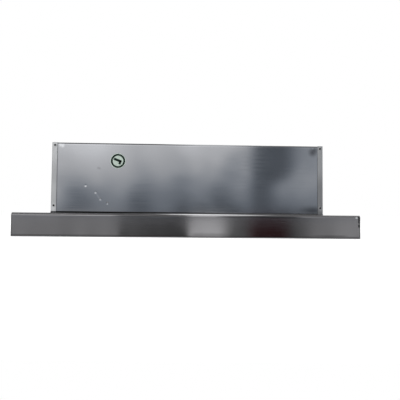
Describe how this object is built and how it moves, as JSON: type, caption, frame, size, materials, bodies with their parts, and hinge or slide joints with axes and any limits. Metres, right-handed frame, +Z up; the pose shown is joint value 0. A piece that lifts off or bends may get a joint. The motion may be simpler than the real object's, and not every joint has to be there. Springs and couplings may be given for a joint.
{
  "type": "telescopic range hood",
  "caption": "Slim built-in telescopic range hood: a wide steel fascia on a pull-out filter drawer, below a plain sheet-metal box that holds the fan and ends in a round duct collar.",
  "frame": {"origin": "under the middle of the closed hood, on the surface that it stands on", "axes": "+X to the right seen from the front, -Y towards the front, +Z up"},
  "size_m": [0.598, 0.3, 0.1835],
  "materials": {
    "body_steel": "satin sheet steel",
    "fascia_steel": "brushed stainless steel",
    "base_steel": "silver-grey paint",
    "frame_steel": "galvanised",
    "rail_zinc": "zinc plated",
    "rivet_steel": "dull",
    "screw_steel": "zinc plated",
    "seal_foam": "closed-cell foam",
    "bump_rubber": "matte",
    "cap_plastic": "fine texture",
    "dark_plastic": "fine texture",
    "control_plastic": "satin",
    "volute_plastic": "moulded",
    "collar_plastic": "moulded",
    "impeller_plastic": "moulded",
    "motor_steel": "galvanised",
    "capacitor_case": "moulded",
    "reflector": "satin",
    "bezel_chrome": "polished",
    "lens_glass": "frosted",
    "bulb_glass": "clear",
    "filter_aluminium": "satin",
    "mesh_aluminium": "expanded mesh"
  },
  "bodies": {
    "housing": {"front_panel": "body_steel", "rear_panel": "body_steel", "top_panel": "body_steel", "left_cheek": "body_steel", "right_cheek": "body_steel", "cheek_rivets": "rivet_steel", "body_seal": "seal_foam", "base_tray": "base_steel", "left_pod": "base_steel", "right_pod": "base_steel", "front_crossbar": "base_steel", "lamp_panel": "base_steel", "left_lamp_housing": "reflector", "right_lamp_housing": "reflector", "lamp_bezels": "bezel_chrome", "lamp_lenses": "lens_glass", "lamp_bulbs": "bulb_glass", "control_plate": "cap_plastic", "switch_body": "dark_plastic", "microswitch_body": "dark_plastic", "terminal_box": "volute_plastic", "cable_gland": "dark_plastic", "capacitor": "capacitor_case", "left_volute": "volute_plastic", "right_volute": "volute_plastic", "motor_can": "motor_steel", "motor_bracket": "frame_steel", "outlet_adapter": "volute_plastic", "duct_collar": "collar_plastic", "flap_pin": "screw_steel", "housing_screws": "screw_steel", "left_outer_rail": "rail_zinc", "right_outer_rail": "rail_zinc"},
    "drawer": {"fascia": "fascia_steel", "left_fascia_cap": "cap_plastic", "right_fascia_cap": "cap_plastic", "fascia_screws": "screw_steel", "bump_stops": "bump_rubber", "drawer_frame": "frame_steel", "drawer_top": "base_steel", "drawer_filter_frame": "filter_aluminium", "drawer_filter_mesh": "mesh_aluminium", "left_inner_rail": "rail_zinc", "right_inner_rail": "rail_zinc"},
    "middle_rails": {"left_middle_rail": "rail_zinc", "right_middle_rail": "rail_zinc"},
    "fan": {"impeller": "impeller_plastic", "motor_shaft": "screw_steel"},
    "front_flap": {"front_flap": "collar_plastic"},
    "rear_flap": {"rear_flap": "collar_plastic"},
    "speed_slider": {"speed_slider": "control_plastic"},
    "light_slider": {"light_slider": "control_plastic"},
    "microswitch_plunger": {"microswitch_plunger": "control_plastic"},
    "left_filter": {"left_filter_frame": "filter_aluminium", "left_filter_mesh": "mesh_aluminium"},
    "right_filter": {"right_filter_frame": "filter_aluminium", "right_filter_mesh": "mesh_aluminium"},
    "left_latch": {"left_latch": "control_plastic"},
    "right_latch": {"right_latch": "control_plastic"}
  },
  "joints": [
    {"name": "drawer_slide", "type": "slide", "parent": "housing", "child": "drawer", "axis": [0, -1, 0], "range_m": [0, 0.165]},
    {"name": "rail_slide", "type": "slide", "parent": "housing", "child": "middle_rails", "axis": [0, -1, 0], "range_m": [0, 0.0825]},
    {"name": "fan_spin", "type": "hinge", "parent": "housing", "child": "fan", "pos_m": [0, 0, 0.1], "axis": [1, 0, 0], "continuous": true},
    {"name": "front_flap_swing", "type": "hinge", "parent": "housing", "child": "front_flap", "pos_m": [0, 0.03725, 0.1718], "axis": [-1, 0, 0], "range_deg": [0, 75]},
    {"name": "rear_flap_swing", "type": "hinge", "parent": "housing", "child": "rear_flap", "pos_m": [0, 0.03725, 0.1718], "axis": [1, 0, 0], "range_deg": [0, 75]},
    {"name": "speed_switch", "type": "slide", "parent": "housing", "child": "speed_slider", "axis": [0, 1, 0], "range_m": [0, 0.018]},
    {"name": "light_switch", "type": "slide", "parent": "housing", "child": "light_slider", "axis": [0, 1, 0], "range_m": [0, 0.006]},
    {"name": "microswitch_press", "type": "slide", "parent": "housing", "child": "microswitch_plunger", "axis": [0, 1, 0], "range_m": [0, 0.001], "stiffness_N_per_m": 200, "springref_m": -0.001},
    {"name": "left_filter_drop", "type": "hinge", "parent": "housing", "child": "left_filter", "pos_m": [0, 0.0712, 0.002], "axis": [1, 0, 0], "range_deg": [0, 60]},
    {"name": "right_filter_drop", "type": "hinge", "parent": "housing", "child": "right_filter", "pos_m": [0, 0.0712, 0.002], "axis": [1, 0, 0], "range_deg": [0, 60]},
    {"name": "left_latch_slide", "type": "slide", "parent": "left_filter", "child": "left_latch", "axis": [0, 1, 0], "range_m": [0, 0.004], "stiffness_N_per_m": 300, "springref_m": -0.003},
    {"name": "right_latch_slide", "type": "slide", "parent": "right_filter", "child": "right_latch", "axis": [0, 1, 0], "range_m": [0, 0.004], "stiffness_N_per_m": 300, "springref_m": -0.003}
  ],
  "couplings": [
    {"joint": "rail_slide", "follows": "drawer_slide", "ratio": 0.5}
  ]
}
